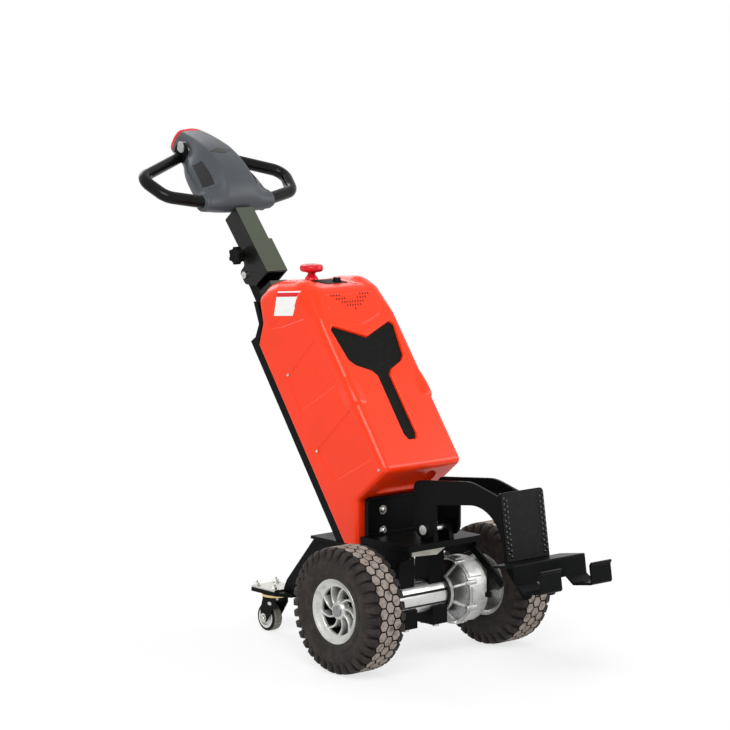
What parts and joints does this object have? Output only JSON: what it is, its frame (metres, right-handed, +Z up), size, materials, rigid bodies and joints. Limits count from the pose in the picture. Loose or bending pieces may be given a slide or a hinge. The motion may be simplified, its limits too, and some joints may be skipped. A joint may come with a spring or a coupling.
{
  "type": "trolley pusher tug",
  "caption": "Walk-behind electric tug with a leaning battery cover, tilting tiller, lifting hook hitch, driven pneumatic wheels and swivel castors.",
  "frame": {"origin": "on the floor under the middle of the tug's overall box", "axes": "+Z up, +Y towards the operator's handle, -Y towards the hitch, +X to the right of someone who looks from the hitch towards the operator"},
  "size_m": [0.638, 1.6, 1.3598],
  "materials": {
    "frame_black": "satin black powder coat",
    "mast_paint": "dark olive black paint",
    "zinc": "zinc plated steel",
    "light_paint": "light grey paint",
    "cast_aluminium": "bright cast and extruded aluminium",
    "motor_black": "black motor body",
    "cover_orange": "glossy orange red moulding",
    "matt_black": "matt black plastic",
    "battery_black": "battery block",
    "signal_red": "glossy red plastic",
    "head_grey": "grey satin plastic",
    "lever_grey": "light grey plastic",
    "grip_black": "gloss black coated tube",
    "pad_rubber": "black rubber",
    "tyre_rubber": "dusty black tyre rubber",
    "castor_rubber": "grey castor tread",
    "castor_plastic": "pale castor centre",
    "rim_silver": "silver painted rim",
    "hub_steel": "turned steel"
  },
  "bodies": {
    "chassis": {"deck": "frame_black", "base_plate": "frame_black", "deck_bracket": "frame_black", "side_rails": "frame_black", "castor_mounts": "frame_black", "castor_pads": "zinc", "cross_plate": "light_paint", "torque_stay": "frame_black", "axle_clamps": "frame_black", "axle_saddles": "frame_black", "clamp_bolts": "zinc", "axle_tube": "cast_aluminium", "gearbox": "cast_aluminium", "drive_motor": "motor_black", "cover": "cover_orange", "cover_recess": "matt_black", "backbone": "frame_black", "battery": "battery_black", "emergency_knob": "signal_red", "mast_tube": "mast_paint", "mast_foot": "frame_black", "hitch_ears": "frame_black"},
    "hitch": {"hitch_pin": "zinc", "hitch_arms": "frame_black", "hitch_channel": "frame_black", "hitch_hooks": "frame_black", "push_plate": "frame_black", "push_pad": "pad_rubber"},
    "column": {"column_sleeve": "mast_paint", "column_tube": "mast_paint", "column_pin": "zinc", "star_knob": "matt_black", "head_housing": "head_grey", "head_cap": "signal_red", "head_cheeks": "matt_black", "thumb_levers": "lever_grey", "handle_loops": "grip_black"},
    "drive_wheel_left": {"tyre_left": "tyre_rubber", "rim_left": "rim_silver", "hub_left": "hub_steel"},
    "castor_swivel_left": {"castor_fork_left": "frame_black"},
    "castor_wheel_left": {"castor_tyre_left": "castor_rubber", "castor_core_left": "castor_plastic"},
    "drive_wheel_right": {"tyre_right": "tyre_rubber", "rim_right": "rim_silver", "hub_right": "hub_steel"},
    "castor_swivel_right": {"castor_fork_right": "frame_black"},
    "castor_wheel_right": {"castor_tyre_right": "castor_rubber", "castor_core_right": "castor_plastic"}
  },
  "joints": [
    {"name": "drive_roll_left", "type": "hinge", "parent": "chassis", "child": "drive_wheel_left", "pos_m": [-0.261, -0.23775, 0.165], "axis": [1, 0, 0], "continuous": true},
    {"name": "castor_turn_left", "type": "hinge", "parent": "chassis", "child": "castor_swivel_left", "pos_m": [-0.112, 0.24425, 0.105], "axis": [0, 0, 1], "continuous": true},
    {"name": "castor_roll_left", "type": "hinge", "parent": "castor_swivel_left", "child": "castor_wheel_left", "pos_m": [-0.112, 0.26826, 0.038], "axis": [1, 0, 0], "continuous": true},
    {"name": "drive_roll_right", "type": "hinge", "parent": "chassis", "child": "drive_wheel_right", "pos_m": [0.261, -0.23775, 0.165], "axis": [1, 0, 0], "continuous": true},
    {"name": "castor_turn_right", "type": "hinge", "parent": "chassis", "child": "castor_swivel_right", "pos_m": [0.112, 0.24425, 0.105], "axis": [0, 0, 1], "continuous": true},
    {"name": "castor_roll_right", "type": "hinge", "parent": "castor_swivel_right", "child": "castor_wheel_right", "pos_m": [0.112, 0.26826, 0.038], "axis": [1, 0, 0], "continuous": true},
    {"name": "hitch_lift", "type": "hinge", "parent": "chassis", "child": "hitch", "pos_m": [0, -0.28974, 0.352], "axis": [1, 0, 0], "range_deg": [-6, 9]},
    {"name": "column_tilt", "type": "hinge", "parent": "chassis", "child": "column", "pos_m": [0, 0.46375, 0.96625], "axis": [1, 0, 0], "range_deg": [-26, 4]}
  ]
}
